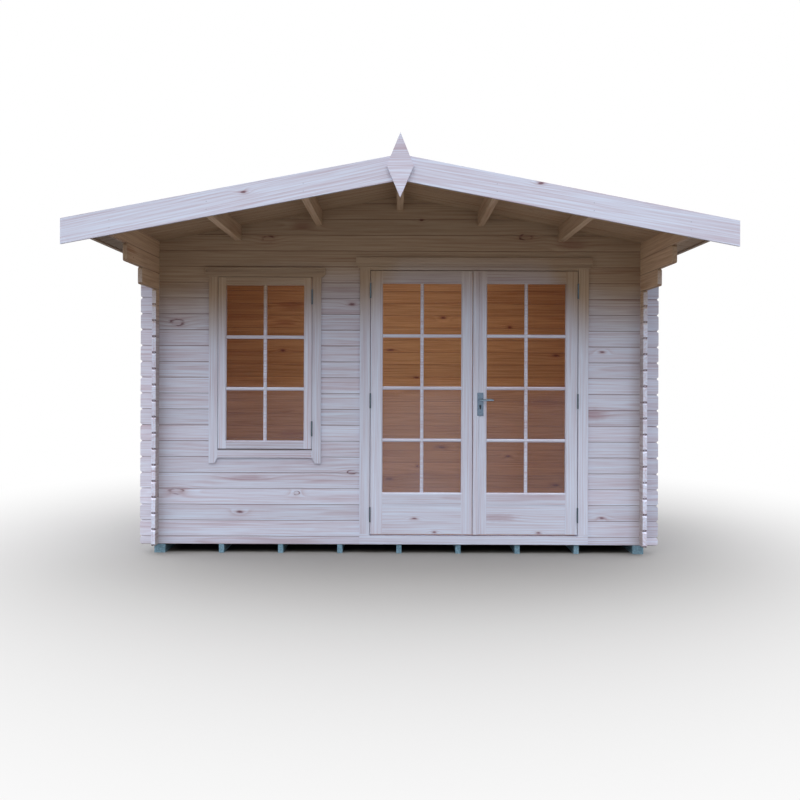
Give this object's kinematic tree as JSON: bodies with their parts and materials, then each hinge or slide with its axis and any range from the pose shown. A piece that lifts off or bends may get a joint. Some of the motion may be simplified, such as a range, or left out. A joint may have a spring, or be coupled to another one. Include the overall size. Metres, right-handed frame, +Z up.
{
  "type": "log cabin",
  "caption": "Small timber log cabin of interlocking notched logs with a gabled front canopy, hinged glazed double doors, one front window, a floor on bearers and a felted roof.",
  "frame": {"origin": "middle of the wall footprint at ground level, under the middle floor bearer", "axes": "+X to the right seen from the front, -Y out of the front wall, +Z up"},
  "size_m": [3.926, 3.65, 2.6355],
  "materials": {
    "wall_logs": "planed, pale washed spruce",
    "roof_timber": "planed spruce",
    "trim_boards": "planed, pale washed spruce",
    "joinery": "planed, pale washed spruce",
    "floor_boards": "planed spruce",
    "treated_timber": "pressure treated, sawn",
    "roof_felt": "mineral grit",
    "glazing": "clear float glass",
    "hinge_steel": "zinc plated",
    "handle_steel": "satin"
  },
  "bodies": {
    "cabin": {"floor_bearers": "treated_timber", "floor_deck": "floor_boards", "front_sill_log": "wall_logs", "front_wall_left_logs": "wall_logs", "front_wall_right_logs": "wall_logs", "front_gable_logs": "wall_logs", "back_wall_logs": "wall_logs", "left_wall_logs": "wall_logs", "right_wall_logs": "wall_logs", "ridge_purlin": "roof_timber", "left_purlins": "roof_timber", "right_purlins": "roof_timber", "left_roof_deck": "roof_timber", "right_roof_deck": "roof_timber", "left_roof_felt": "roof_felt", "right_roof_felt": "roof_felt", "ridge_felt": "roof_felt", "left_eaves_board": "trim_boards", "right_eaves_board": "trim_boards", "front_left_bargeboard": "trim_boards", "front_right_bargeboard": "trim_boards", "rear_left_bargeboard": "trim_boards", "rear_right_bargeboard": "trim_boards", "finial": "trim_boards", "window_frame": "joinery", "window_sash_stiles": "joinery", "window_sash_rails": "joinery", "window_glass": "glazing", "window_trim": "trim_boards", "window_hinges": "hinge_steel", "door_frame": "joinery", "door_stops": "joinery", "door_trim": "trim_boards", "frame_hinges": "hinge_steel"},
    "left_door": {"left_door_stiles": "joinery", "left_door_rails": "joinery", "left_door_panel": "joinery", "left_door_glass": "glazing", "left_door_hinges": "hinge_steel"},
    "right_door": {"right_door_stiles": "joinery", "right_door_rails": "joinery", "right_door_panel": "joinery", "right_door_glass": "glazing", "right_door_hinges": "hinge_steel", "closing_strip": "joinery", "handle_plates": "handle_steel"},
    "lever": {"door_lever": "handle_steel"}
  },
  "joints": [
    {"name": "left_door_hinge", "type": "hinge", "parent": "cabin", "child": "left_door", "pos_m": [-0.2015, -1.119, 1.0465], "axis": [0, 0, -1], "range_deg": [0, 110]},
    {"name": "right_door_hinge", "type": "hinge", "parent": "cabin", "child": "right_door", "pos_m": [1.2335, -1.119, 1.0465], "axis": [0, 0, 1], "range_deg": [0, 110]},
    {"name": "lever_turn", "type": "hinge", "parent": "right_door", "child": "lever", "pos_m": [0.559, -1.093, 1.065], "axis": [0, 1, 0], "range_deg": [0, 40], "stiffness_Nm_per_rad": 1.5, "springref_deg": -20.05}
  ]
}
